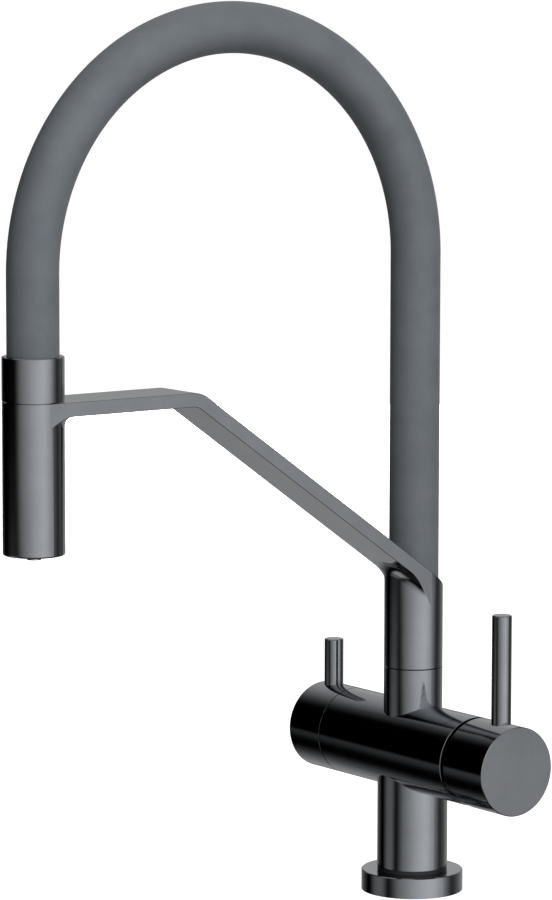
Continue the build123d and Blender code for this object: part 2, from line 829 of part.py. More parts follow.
def hose_base_fitting():
    """Brass fitting under the hose: its spigot turns in the stem, its top holds tube and lines."""
    body = rod(spigot_radius, spigot_bottom, fitting_seat)
    body += rod(hose_radius, fitting_seat, fitting_flange_top)
    body += rod(nipple_radius, fitting_flange_top, foot_nipple_top)
    body += line_stubs(foot_nipple_top)
    filter_level = riser_top + filter_way_turn
    mixed_level = filter_level + way_spacing
    body -= rod(spigot_bore_radius, spigot_bottom, chamber_low)
    body -= rod(chamber_radius, chamber_low, chamber_high)
    body -= rod(riser_radius + running_gap, chamber_high, riser_top)
    body -= rod(riser_bore_radius, riser_top, filter_level)
    body -= filter_crossing(filter_level)
    body -= rod(mixed_nipple_bore, chamber_low, mixed_level + way_overlap, mixed_line_offset + mixed_step)
    body -= line_ways(foot_nipple_top, mixed_level, filter_level)
    groove_bottom = chamber_high + riser_groove_rise
    groove_radius = riser_radius + 2 * riser_ring_section
    body -= ring(groove_radius, riser_radius, groove_bottom, groove_bottom + riser_groove_height)
    for rise in spigot_ring_rises:
        body -= ring(
            spigot_radius + 1,
            stem_bore_radius - 2 * (o_ring_section + running_gap),
            spigot_bottom + rise - o_ring_section,
            spigot_bottom + rise + o_ring_section,
        )
    return body


def swivel_o_rings():
    rings = Part()
    for rise in spigot_ring_rises:
        rings += seal(stem_bore_radius - running_gap - o_ring_section, o_ring_section, spigot_bottom + rise)
    return rings


def riser_seal():
    section = riser_ring_section - running_gap / 2
    return seal(riser_radius + running_gap + section, section, riser_ring_height)


def filter_riser():
    """Tube from the body up through the stem, into the middle of the hose fitting."""
    return ring(riser_radius, riser_bore_radius, riser_bottom, riser_top - loose_gap)


def arch_tube(outer, inner, foot, head, x=0.0):
    """Tube that rises from the collar, turns a half circle and comes down to the head."""
    tube = ring(outer, inner, foot, arch_centre, x)
    section = Pos(x, 0, arch_centre) * (Circle(outer) - Circle(inner))
    turn = Axis((0, -arch_radius, arch_centre), (1, 0, 0))
    tube += revolve(section, turn, 180)
    return tube + ring(outer, inner, head, arch_centre, x, -spout_reach)


def silicone_hose():
    return arch_tube(hose_radius, hose_bore_radius, fitting_flange_top, hose_end)


def support_tube():
    return arch_tube(support_radius, support_bore_radius, fitting_flange_top, ferrule_spigot_bottom)


def mixed_water_line():
    return arch_tube(mixed_line_radius, mixed_line_bore, foot_nipple_top, head_nipple_top, mixed_line_offset)


def filtered_water_line():
    return arch_tube(filter_line_radius, filter_line_bore, foot_nipple_top, head_nipple_top, filter_line_offset)


def side_profile(corners, half_width):
    """Prism across X from an outline of (Y, Z) corners."""
    face = make_face(Polyline(*[(0, y, z) for y, z in corners], close=True))
    return extrude(face, half_width, both=True)


def top_of_slope(y):
    """Height of the arm's sloping top face."""
    return collar_rim - slope * y


def arm_strap():
    """Flat bent strap between head and collar."""
    inner_bend_y = bend_y - arm_thickness * math.tan(math.radians(slope_angle / 2))
    corners = [
        (-spout_reach, arm_top),
        (bend_y, arm_top),
        (0, top_of_slope(0)),
        (0, top_of_slope(0) - arm_drop),
        (inner_bend_y, arm_bottom),
        (-spout_reach, arm_bottom),
    ]
    strap = side_profile(corners, spout_radius)
    across = strap.edges().filter_by(Axis.X)
    outer_bend = across.sort_by_distance((0, bend_y, arm_top))[0]
    inner_bend = across.sort_by_distance((0, inner_bend_y, arm_bottom))[0]
    strap = fillet(outer_bend, bend_radius + arm_thickness)
    inner_bend = strap.edges().filter_by(Axis.X).sort_by_distance((0, inner_bend_y, arm_bottom))[0]
    return fillet(inner_bend, bend_radius)


def half_of(shape, side):
    """The half of a solid on the -Y side (side -1) or the +Y side (side 1) of the X-Z plane."""
    reach = 10 * spout_radius
    box = block(-reach, reach, min(0, side * reach), max(0, side * reach), 0, 2 * arm_top)
    return shape & box


def under_slope(reach, upper, lower):
    """Slab between two planes that lie the given heights under the arm's sloping top."""
    corners = [
        (-reach, top_of_slope(-reach) - upper),
        (reach, top_of_slope(reach) - upper),
        (reach, top_of_slope(reach) - lower),
        (-reach, top_of_slope(-reach) - lower),
    ]
    return side_profile(corners, reach)


def collar():
    """Collar cut off by the slope at its back, running into the arm through a hollow fillet at its front."""
    reach = 3 * spout_radius
    plain = rod(spout_radius, collar_bottom, top_of_slope(-spout_radius))
    back = half_of(plain & under_slope(reach, 0, 2 * collar_height), 1)
    joined = under_slope(reach, 0, arm_drop) + (plain & under_slope(reach, arm_drop / 2, 2 * collar_height))
    joined = half_of(joined, -1)
    joined = fillet(joined.edges().filter_by(GeomType.ELLIPSE), collar_fillet)
    front = joined & block(-spout_radius, spout_radius, 1 - reach, 0, collar_bottom, top_of_slope(-reach))
    return back + front


def head_sleeve():
    """Sleeve of the head, running into the level arm through a smaller fillet."""
    reach = 3 * spout_radius
    far = half_of(rod(spout_radius, sleeve_bottom, arm_top), -1)
    joined = block(-reach, reach, -reach, reach, arm_bottom, arm_top)
    joined += rod(spout_radius, sleeve_bottom, arm_bottom + arm_thickness / 2)
    joined = fillet(joined.edges().filter_by(GeomType.CIRCLE).sort_by(Axis.Z)[-1], head_fillet)
    near = joined & block(-spout_radius, spout_radius, 0, reach - 1, sleeve_bottom, arm_top)
    sleeve = far + near
    rim = sleeve.edges().filter_by(lambda edge: edge.bounding_box().max.Z < sleeve_bottom + thread_gap)
    rim = rim.filter_by(GeomType.CIRCLE)
    return Pos(0, -spout_reach, 0) * fillet(rim, sleeve_rim_radius)


def arm_edges(casting, short_by):
    """Long edges of the arm's side faces, which end this much short of the collar's and the head's axis."""
    start = short_by + thread_gap - spout_reach
    between = casting.edges().filter_by(lambda edge: start < edge.center().Y < -short_by - thread_gap)
    return between.filter_by(lambda edge: abs(edge.center().X) > spout_radius - thread_gap)


def on_arm_top(edge):
    """Whether an edge lies on the arm's upper side."""
    middle = edge.center()
    return middle.Z > min(arm_top, top_of_slope(middle.Y)) - arm_thickness / 2


def soft_arm(casting):
    """The casting with its arm's long edges rounded; the lower ones run out where the round parts begin."""
    wide = 3 * spout_radius
    stretch = block(-wide, wide, arm_edge_run_out - spout_reach, -arm_edge_run_out, 0, 2 * arm_top)
    middle = casting & stretch
    under = arm_edges(middle, arm_edge_run_out).filter_by(lambda edge: not on_arm_top(edge))
    casting = fillet(under, arm_edge_radius) + (casting - stretch)
    return fillet(arm_edges(casting, 0).filter_by(on_arm_top), arm_edge_radius)


def spout_casting():
    """Collar, arm and head sleeve in one piece."""
    casting = soft_arm(collar() + arm_strap() + head_sleeve())
    casting -= rod(collar_bore_radius, collar_bottom, fitting_seat)
    casting -= rod(hose_seat_radius, fitting_seat, top_of_slope(-spout_radius))
    screw_hole = rod(grub_radius + thread_gap, collar_bore_radius - 1, spout_radius + 1)
    casting -= Pos(0, 0, stop_height) * Rot(-90, 0, 0) * screw_hole
    casting -= rod(counterbore_radius, counterbore_floor, arm_top, 0, -spout_reach)
    casting -= rod(head_bore_radius, aerator_bore_top, counterbore_floor, 0, -spout_reach)
    return casting - rod(aerator_bore_radius, sleeve_bottom, aerator_bore_top, 0, -spout_reach)


def hose_ferrule():
    """Ring that holds the end of the hose and screws into the head."""
    inner = support_radius + running_gap
    spigot = counterbore_radius - thread_gap
    ferrule = turned(
        (inner, ferrule_spigot_bottom),
        (spigot, ferrule_spigot_bottom),
        (spigot, ferrule_bottom),
        (spout_radius, ferrule_bottom),
        (spout_radius, ferrule_top),
        (hose_seat_radius, ferrule_top),
        (hose_seat_radius, hose_end),
        (inner, hose_end),
    )
    rim = ferrule.edges().filter_by(GeomType.CIRCLE).sort_by(Axis.Z)[-2:].sort_by(SortBy.RADIUS)[-1]
    return Pos(0, -spout_reach, 0) * chamfer(rim, edge_chamfer)


def head_fitting():
    """Fitting in the head: keeps the mixed water outside and leads the filtered water to the middle."""
    body = rod(head_spigot_radius, head_spigot_bottom, counterbore_floor)
    body += rod(counterbore_radius - slide_gap, counterbore_floor, ferrule_spigot_bottom)
    body += rod(nipple_radius, ferrule_spigot_bottom, head_nipple_top)
    body += line_stubs(head_nipple_top)
    filter_level = nozzle_top + filter_way_turn
    mixed_level = filter_level + way_spacing
    body -= rod(nozzle_radius + thread_gap, head_spigot_bottom, nozzle_top)
    body -= rod(riser_bore_radius, nozzle_top, filter_level)
    body -= filter_crossing(filter_level)
    mixed_place = mixed_line_offset + head_mixed_step
    body -= rod(mixed_nipple_bore, head_spigot_bottom, mixed_level + way_overlap, mixed_place)
    body -= line_ways(head_nipple_top, mixed_level, filter_level)
    ring_height = counterbore_floor - head_ring_drop
    body -= ring(
        head_spigot_radius + 1,
        head_bore_radius - 2 * (head_ring_section + running_gap),
        ring_height - head_ring_section,
        ring_height + head_ring_section,
    )
    return Pos(0, -spout_reach, 0) * body


def head_o_ring():
    major = head_bore_radius - running_gap - head_ring_section
    return Pos(0, -spout_reach, 0) * seal(major, head_ring_section, counterbore_floor - head_ring_drop)


def aerator_housing():
    outer = aerator_bore_radius - thread_gap
    inner = outer - aerator_wall
    return Pos(0, -spout_reach, 0) * turned(
        (inner - aerator_lip, aerator_bottom),
        (outer, aerator_bottom),
        (outer, aerator_top),
        (inner, aerator_top),
        (inner, insert_bottom),
        (inner - aerator_lip, insert_bottom),
    )


def aerator_insert():
    """Flow former with rings of fine holes round the middle nozzle."""
    outer = aerator_bore_radius - thread_gap - aerator_wall - running_gap
    top = insert_bottom + aerator_insert_height
    insert = ring(outer, nozzle_radius + thread_gap, insert_bottom, top)
    holes = Part()
    for circle in aerator_ring_radii:
        count = round(2 * math.pi * circle / aerator_hole_pitch)
        for step in range(count):
            turn = 2 * math.pi * step / count
            holes += rod(aerator_hole_radius, insert_bottom, top, circle * math.cos(turn), circle * math.sin(turn))
    return Pos(0, -spout_reach, 0) * (insert - holes)


def aerator_washer():
    outer = aerator_bore_radius - thread_gap
    inner = outer - aerator_wall - aerator_lip
    return ring(outer, inner, aerator_top, aerator_bore_top, 0, -spout_reach)


def filtered_water_nozzle():
    return ring(nozzle_radius, nozzle_bore_radius, nozzle_bottom, nozzle_top, 0, -spout_reach)


pieces = {
    "base_flange": base_flange(),
    "deck_gasket": deck_gasket(),
    "foot_ring": foot_ring(),
    "threaded_shank": threaded_shank(),
    "under_deck_seal": under_deck_seal(),
    "clamp_washer": clamp_washer(),
    "mounting_nut": mounting_nut(),
    "valve_body": valve_body(),
    "mixer_base_seals": mixer_base_seals(),
    "mixer_cartridge_base": mixer_cartridge_base(),
    "mixer_fixed_disc": mixer_fixed_disc(),
    "mixer_moving_disc": mixer_moving_disc(),
    "mixer_disc_carrier": mixer_disc_carrier(),
    "mixer_cartridge_housing": mixer_cartridge_housing(),
    "mixer_rotor": mixer_rotor(),
    "mixer_pivot_pin": mixer_pivot_pin(),
    "mixer_spindle": mixer_spindle(),
    "mixer_cartridge_nut": mixer_cartridge_nut(),
    "mixer_dome": mixer_dome(),
    "mixer_cap": mixer_cap(),
    "mixer_pin": lever_pin(mixer_pin_x, mixer_pin_height),
    "mixer_grub_screw": grub_screw(mixer_pin_x),
    "filter_seat_seal": filter_seat_seal(),
    "filter_headpart": filter_headpart(),
    "filter_fixed_disc": filter_fixed_disc(),
    "filter_moving_disc": filter_moving_disc(),
    "filter_spindle": filter_spindle(),
    "filter_spindle_o_ring": filter_spindle_o_ring(),
    "filter_cap": filter_cap(),
    "filter_pin": lever_pin(-filter_pin_x, filter_pin_height),
    "filter_grub_screw": grub_screw(-filter_pin_x),
    "swivel_washer": swivel_washer(),
    "swivel_stem": swivel_stem(),
    "lower_slide_ring": slide_ring(lower_ring_bottom),
    "upper_slide_ring": slide_ring(upper_ring_bottom),
    "stop_screw": stop_screw(),
    "hose_base_fitting": hose_base_fitting(),
    "swivel_o_rings": swivel_o_rings(),
    "riser_seal": riser_seal(),
    "filter_riser": filter_riser(),
    "spout_casting": spout_casting(),
    "silicone_hose": silicone_hose(),
    "support_tube": support_tube(),
    "mixed_water_line": mixed_water_line(),
    "filtered_water_line": filtered_water_line(),
    "hose_ferrule": hose_ferrule(),
    "head_fitting": head_fitting(),
    "head_o_ring": head_o_ring(),
    "aerator_housing": aerator_housing(),
    "aerator_insert": aerator_insert(),
    "aerator_washer": aerator_washer(),
    "filtered_water_nozzle": filtered_water_nozzle(),
}

os.makedirs("parts", exist_ok=True)
for name, piece in pieces.items():
    export_step(piece, f"parts/{name}.step")

print("tilting axis at x", round(pivot, 3), "z", barrel_height)
print("disc travel per radian", round(disc_travel_per_radian, 4))
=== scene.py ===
import math

import bpy
from mathutils import Matrix, Vector


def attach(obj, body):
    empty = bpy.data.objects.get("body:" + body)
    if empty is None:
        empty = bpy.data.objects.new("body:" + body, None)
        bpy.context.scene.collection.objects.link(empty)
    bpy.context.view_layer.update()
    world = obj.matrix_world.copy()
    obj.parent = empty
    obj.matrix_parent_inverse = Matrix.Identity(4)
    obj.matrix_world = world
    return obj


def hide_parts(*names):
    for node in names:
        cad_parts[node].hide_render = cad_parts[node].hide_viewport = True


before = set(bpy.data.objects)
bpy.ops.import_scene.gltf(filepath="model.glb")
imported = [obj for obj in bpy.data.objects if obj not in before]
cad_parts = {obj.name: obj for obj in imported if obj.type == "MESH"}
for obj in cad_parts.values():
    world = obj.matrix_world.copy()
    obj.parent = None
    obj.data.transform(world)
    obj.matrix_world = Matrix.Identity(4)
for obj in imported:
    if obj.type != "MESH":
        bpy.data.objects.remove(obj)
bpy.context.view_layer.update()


class Wire:
    # One socket of a node tree, so that shader and geometry maths read as plain sums
    def __init__(self, tree, socket=None):
        self.tree = tree
        self.socket = socket

    def node(self, kind, settings=None, inputs=None, output=0):
        # Settings go in before the sockets are filled, because some of them change which sockets there are
        made = self.tree.nodes.new(kind)
        for name, value in (settings or {}).items():
            if name == "stops":
                self.fillRamp(made.color_ramp, value)
            elif name == "items":
                while len(made.index_switch_items) < value:
                    made.index_switch_items.new()
            else:
                setattr(made, name, value)
        for key, value in (inputs or {}).items():
            if isinstance(value, Wire):
                self.tree.links.new(value.socket, made.inputs[key])
            else:
                made.inputs[key].default_value = value
        return Wire(self.tree, made.outputs[output] if len(made.outputs) else None)

    def fillRamp(self, ramp, stops):
        while len(ramp.elements) < len(stops):
            ramp.elements.new(0.5)
        for element, (place, value) in zip(ramp.elements, stops):
            element.position = place
            element.color = (value, value, value, 1.0)

    def twin(self, output):
        # Another output of the node that this socket belongs to
        return Wire(self.tree, self.socket.node.outputs[output])

    def maths(self, operation, *values):
        return self.node("ShaderNodeMath", {"operation": operation}, dict(enumerate(values)))

    def vectors(self, operation, *values, output=0):
        return self.node("ShaderNodeVectorMath", {"operation": operation}, dict(enumerate(values)), output)

    def __add__(self, other):
        return self.maths("ADD", self, other)

    def __radd__(self, other):
        return self.maths("ADD", other, self)

    def __sub__(self, other):
        return self.maths("SUBTRACT", self, other)

    def __rsub__(self, other):
        return self.maths("SUBTRACT", other, self)

    def __mul__(self, other):
        return self.maths("MULTIPLY", self, other)

    def __rmul__(self, other):
        return self.maths("MULTIPLY", other, self)

    def __truediv__(self, other):
        return self.maths("DIVIDE", self, other)

    def __rtruediv__(self, other):
        return self.maths("DIVIDE", other, self)

    def __mod__(self, other):
        return self.maths("FLOORED_MODULO", self, other)

    def __rmod__(self, other):
        return self.maths("FLOORED_MODULO", other, self)

    def __lt__(self, other):
        return self.maths("LESS_THAN", self, other)

    def __gt__(self, other):
        return self.maths("GREATER_THAN", self, other)

    def atLeast(self, floor):
        return self.maths("MAXIMUM", self, floor)

    def atMost(self, ceiling):
        return self.maths("MINIMUM", self, ceiling)

    def step(self, start, end):
        # 0 before start, 1 after end, and smooth between them
        smooth = {"interpolation_type": "SMOOTHSTEP"}
        return self.node("ShaderNodeMapRange", smooth, {0: self, 1: start, 2: end})

    def mix(self, first, second):
        # This value as the share of the second colour
        return self.node("ShaderNodeMix", {"data_type": "RGBA"}, {0: self, 6: first, 7: second}, output=2)

    def split(self):
        x = self.node("ShaderNodeSeparateXYZ", inputs={0: self})
        return [x, x.twin("Y"), x.twin("Z")]

    def join(self, x, y, z):
        return self.node("ShaderNodeCombineXYZ", inputs={0: x, 1: y, 2: z})

    def noise(self, where, scale, detail=2.0, roughness=0.5):
        sizes = {"Vector": where, "Scale": scale, "Detail": detail, "Roughness": roughness}
        return self.node("ShaderNodeTexNoise", inputs=sizes)

    def stretched(self, where, x, y, z):
        return self.vectors("MULTIPLY", where, (x, y, z))

    def bump(self, height, strength, depth, under=None):
        sizes = {"Height": height, "Strength": strength, "Distance": depth}
        if under:
            sizes["Normal"] = under
        return self.node("ShaderNodeBump", inputs=sizes)


def linear(*shown):
    # Turns colour numbers of 0 to 255, as a picture shows them, into the plain light that shaders work in
    parts = [number / 255 for number in shown]
    light = [part / 12.92 if part <= 0.04045 else ((part + 0.055) / 1.055) ** 2.4 for part in parts]
    return (*light, 1.0)


def newMaterial(name):
    material = bpy.data.materials.new(name)
    material.use_nodes = True
    material.node_tree.nodes.clear()
    start = Wire(material.node_tree)
    where = start.node("ShaderNodeTexCoord", output="Object")
    return material, start, where


def closeMaterial(start, **sockets):
    # The one surface shader that every finish ends in; socket names are written without their spaces
    shader = start.node("ShaderNodeBsdfPrincipled")
    plain = {socket.name.replace(" ", ""): socket for socket in shader.socket.node.inputs}
    for name, value in sockets.items():
        if isinstance(value, Wire):
            start.tree.links.new(value.socket, plain[name])
        else:
            plain[name].default_value = value
    start.node("ShaderNodeOutputMaterial", inputs={"Surface": shader})


gunmetalLook = {
    "dark": linear(135.5, 138.5, 143),
    "light": linear(141.5, 144.5, 149),
    "patchesPerMetre": 45,
    "roughness": 0.115,
    "patchRoughness": 0.03,
    "grainRoughness": 0.03,
    "grainSize": 0.0004,
    "grainDepth": 0.0000012,
    "rippleSize": 0.012,
    "rippleDepth": 0.00003,
}


def gunmetalFinish():
    # A dark mirror coating: hardly any grain, and a slow ripple that softens long mirror images
    look = gunmetalLook
    material, start, where = newMaterial("gunmetalCoating")
    wave = start.noise(where, 1 / look["rippleSize"], 1.5)
    patch = start.noise(where, look["patchesPerMetre"], 3.0, 0.6)
    grain = start.noise(where, 1 / look["grainSize"], 1.0)
    tone = patch.step(0.3, 0.7).mix(look["dark"], look["light"])
    uneven = (patch - 0.5) * look["patchRoughness"] + (grain - 0.5) * look["grainRoughness"]
    roughness = look["roughness"] + uneven
    ripple = start.bump(wave, 0.5, look["rippleDepth"])
    surface = start.bump(grain, 0.5, look["grainDepth"], ripple)
    closeMaterial(start, BaseColor=tone, Metallic=1.0, Roughness=roughness, Normal=surface)
    return material


siliconeLook = {
    "dark": linear(100, 105, 110),
    "light": linear(107, 112, 117),
    "patchesPerMetre": 60,
    "roughness": 0.52,
    "speckRoughness": 0.12,
    "lineRoughness": 0.08,
    "specular": 0.35,
    "sheen": 0.05,
    "sheenRoughness": 0.5,
    "lineCount": 34,
    "lineDepth": 0.00002,
    "speckSize": 0.0006,
    "speckDepth": 0.00002,
}


def siliconeFinish():
    # Soft grey sleeve: fine moulding lines run along the hose on its own chart, under a dusty speckle
    look = siliconeLook
    material, start, where = newMaterial("mattSilicone")
    along, around = start.node("ShaderNodeUVMap", {"uv_map": "UVMap"}).split()[:2]
    line = start.noise(start.join(along * 1.5, around * look["lineCount"], 0.0), 1.0, 2.0)
    speck = start.noise(where, 1 / look["speckSize"], 2.0, 0.6)
    patch = start.noise(where, look["patchesPerMetre"], 3.0, 0.6)
    tone = (patch * 0.7 + speck * 0.3).step(0.35, 0.65).mix(look["dark"], look["light"])
    uneven = (speck - 0.5) * look["speckRoughness"] + (line - 0.5) * look["lineRoughness"]
    roughness = look["roughness"] + uneven
    lines = start.bump(line, 0.4, look["lineDepth"])
    surface = start.bump(speck, 0.5, look["speckDepth"], lines)
    closeMaterial(start, BaseColor=tone, Roughness=roughness, SpecularIORLevel=look["specular"],
                  SheenWeight=look["sheen"], SheenRoughness=look["sheenRoughness"], Normal=surface)
    return material


mouldedLooks = {
    "seal_rubber": {
        "dark": linear(22, 22, 23), "light": linear(34, 34, 35),
        "roughness": 0.62, "grainSize": 0.0007, "grainDepth": 0.00004,
    },
    "black_plastic": {
        "dark": linear(34, 34, 35), "light": linear(44, 44, 45),
        "roughness": 0.42, "grainSize": 0.0005, "grainDepth": 0.00002,
    },
    "cartridge_plastic": {
        "dark": linear(208, 210, 210), "light": linear(222, 224, 223),
        "roughness": 0.45, "grainSize": 0.0009, "grainDepth": 0.00002,
    },
    "line_plastic": {
        "dark": linear(222, 223, 219), "light": linear(236, 237, 232),
        "roughness": 0.35, "grainSize": 0.0012, "grainDepth": 0.00002,
    },
    "ceramic_disc": {
        "dark": linear(232, 229, 222), "light": linear(242, 239, 232),
        "roughness": 0.18, "grainSize": 0.0004, "grainDepth": 0.000004,
    },
}


def mouldedFinish(slot):
    # Rubber, plastic and ceramic: two near tones in soft clouds, under a fine moulded or lapped grain
    look = mouldedLooks[slot]
    material, start, where = newMaterial(slot + "Finish")
    cloudsPerMetre = 90
    grainRoughness = 0.15
    cloud = start.noise(where, cloudsPerMetre, 3.0, 0.6)
    grain = start.noise(where, 1 / look["grainSize"], 2.0, 0.6)
    tone = (cloud * 0.75 + grain * 0.25).step(0.35, 0.65).mix(look["dark"], look["light"])
    roughness = look["roughness"] + (grain - 0.5) * grainRoughness
    surface = start.bump(grain, 0.5, look["grainDepth"])
    closeMaterial(start, BaseColor=tone, Roughness=roughness, Normal=surface)
    return material


machinedLooks = {
    "plain_brass": {
        "dark": linear(192, 154, 92), "light": linear(218, 182, 116),
        "roughness": 0.26, "markSize": 0.0006,
    },
    "black_metal": {
        "dark": linear(38, 39, 41), "light": linear(52, 53, 55),
        "roughness": 0.34, "markSize": 0.0008,
    },
    "steel": {
        "dark": linear(178, 180, 182), "light": linear(206, 208, 209),
        "roughness": 0.24, "markSize": 0.0005,
    },
}


def machinedFinish(slot):
    # Bare or blackened turned metal: fine tool marks that run round the axis, with a slightly uneven tone
    look = machinedLooks[slot]
    material, start, where = newMaterial(slot + "Finish")
    cloudsPerMetre = 120
    markDepth = 0.000015
    markRoughness = 0.16
    cloudRoughness = 0.1
    marks = start.noise(start.stretched(where, 0.02, 0.02, 1.0), 1 / look["markSize"], 2.0, 0.6)
    cloud = start.noise(where, cloudsPerMetre, 3.0, 0.6)
    tone = (cloud * 0.6 + marks * 0.4).step(0.35, 0.65).mix(look["dark"], look["light"])
    roughness = look["roughness"] + (marks - 0.5) * markRoughness + (cloud - 0.5) * cloudRoughness
    surface = start.bump(marks, 0.5, markDepth)
    closeMaterial(start, BaseColor=tone, Metallic=1.0, Roughness=roughness, Normal=surface)
    return material


finishes = {"gunmetal": gunmetalFinish(), "silicone": siliconeFinish()}
for slotName in mouldedLooks:
    finishes[slotName] = mouldedFinish(slotName)
for slotName in machinedLooks:
    finishes[slotName] = machinedFinish(slotName)
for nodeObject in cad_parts.values():
    for place in nodeObject.material_slots:
        place.material = finishes[place.material.name]
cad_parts["mixer_pin"].visible_glossy = False  # no mirror image of it in the neck or in its cap
print("finishes:", len(finishes))


def newGeometryTree(name, sizes):
    # A tree with one named input for each size; whole numbers become integer inputs
    tree = bpy.data.node_groups.new(name, "GeometryNodeTree")
    tree.interface.new_socket("Geometry", in_out="OUTPUT", socket_type="NodeSocketGeometry")
    for label, value in sizes.items():
        kind = "NodeSocketInt" if isinstance(value, int) else "NodeSocketFloat"
        tree.interface.new_socket(label, in_out="INPUT", socket_type=kind)
    group = tree.nodes.new("NodeGroupInput")
    return Wire(tree), {label: Wire(tree, group.outputs[label]) for label in sizes}


def sheetOfPoints(start, rows, turns):
    # A flat grid whose row number and share of a full turn are read back from where its points lie
    spans = {"Size X": rows - 1, "Size Y": 1.0, "Vertices X": rows, "Vertices Y": turns + 1}
    grid = start.node("GeometryNodeMeshGrid", inputs=spans)
    x, y = start.node("GeometryNodeInputPosition").split()[:2]
    row = (x + (rows - 1) * 0.5).maths("ROUND", x + (rows - 1) * 0.5)
    return grid, row, y + 0.5


def closeGeometry(start, shape, material, weld=0.00001, crease=0.6):
    # Seams are welded, sharp rims stay sharp, and the tree ends as a real mesh with its material
    shape = start.node("GeometryNodeMergeByDistance", inputs={"Geometry": shape, "Distance": weld})
    smooth = {"Geometry": shape, "Shade Smooth": True}
    shape = start.node("GeometryNodeSetShadeSmooth", {"domain": "FACE"}, smooth)
    rims = start.node("GeometryNodeInputMeshEdgeAngle") > crease
    sharp = {"Geometry": shape, "Selection": rims, "Shade Smooth": False}
    shape = start.node("GeometryNodeSetShadeSmooth", {"domain": "EDGE"}, sharp)
    shape = start.node("GeometryNodeRealizeInstances", inputs={"Geometry": shape})
    shape = start.node("GeometryNodeSetMaterial", inputs={"Geometry": shape, "Material": material})
    start.node("NodeGroupOutput", inputs={"Geometry": shape})


def growPiece(name, start, sizes):
    # Sets the tree's inputs by their identifiers, then keeps what it makes as a plain mesh
    piece = bpy.data.objects.new(name, bpy.data.meshes.new(name + "Start"))
    bpy.context.scene.collection.objects.link(piece)
    modifier = piece.modifiers.new("rule", "NODES")
    modifier.node_group = start.tree
    for item in start.tree.interface.items_tree:
        if item.in_out == "INPUT":
            modifier[item.identifier] = sizes[item.name]
    made = piece.evaluated_get(bpy.context.evaluated_depsgraph_get())
    mesh = bpy.data.meshes.new_from_object(made)
    used = [material for material in mesh.materials if material]  # without the empty slot that it starts with
    mesh.materials.clear()
    for material in used:
        mesh.materials.append(material)
    piece.modifiers.remove(modifier)
    piece.data = mesh
    return piece


hoseSizes = {
    "Hose radius": 0.01265,
    "Bore radius": 0.0095,
    "Reach": 0.230,
    "Foot height": 0.1504,
    "Arch centre": 0.3274,
    "Tip height": 0.2692,
    "Steps": 200,
    "Turns": 72,
}


def hoseTree(material):
    # Straight up out of the collar, half a circle, and straight down into the ferrule. The rows go out along
    # the outer wall and back along the bore, and the last row meets the first
    start, size = newGeometryTree("hoseRule", hoseSizes)
    steps = size["Steps"]
    ring = steps * 2 + 2
    grid, row, turn = sheetOfPoints(start, ring + 1, size["Turns"])
    step = row % ring
    outside = step < steps + 0.5
    archRadius = size["Reach"] * 0.5
    rise = size["Arch centre"] - size["Foot height"]
    drop = size["Arch centre"] - size["Tip height"]
    length = rise + archRadius * math.pi + drop
    along = step.atMost(ring - 1 - step) / steps * length
    bend = ((along - rise) / archRadius).atLeast(0.0).atMost(math.pi)
    straight = (along - rise).atMost(0.0) - (along - rise - archRadius * math.pi).atLeast(0.0)
    radius = size["Bore radius"] + outside * (size["Hose radius"] - size["Bore radius"])
    angle = turn * math.tau
    reach = archRadius + radius * angle.maths("COSINE", angle)
    x = radius * angle.maths("SINE", angle)
    y = reach * bend.maths("COSINE", bend) - archRadius
    z = size["Arch centre"] + reach * bend.maths("SINE", bend) + straight
    shape = start.node("GeometryNodeSetPosition", inputs={"Geometry": grid, "Position": start.join(x, y, z)})
    chart = start.stretched(grid.twin("UV Map"), 1.2, 1.0, 0.0)  # metres along both walls, and turns around
    store = {"Geometry": shape, "Name": "UVMap", "Value": chart}
    shape = start.node("GeometryNodeStoreNamedAttribute", {"data_type": "FLOAT2", "domain": "CORNER"}, store)
    closeGeometry(start, shape, material)
    return start


hose = growPiece("siliconeHose", hoseTree(finishes["silicone"]), hoseSizes)
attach(hose, "spout")
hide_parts("silicone_hose")
print("hose:", len(hose.data.polygons), "faces")


shankSizes = {
    "Crest radius": 0.016,
    "Thread depth": 0.0009,
    "Pitch": 0.0015,
    "Bore radius": 0.014,
    "Bottom": -0.062,
    "Bevel": 0.0005,
    "Thread bottom": -0.056,
    "Top": 0.024,
    "Thread turns": 56,
    "Turns": 64,
}


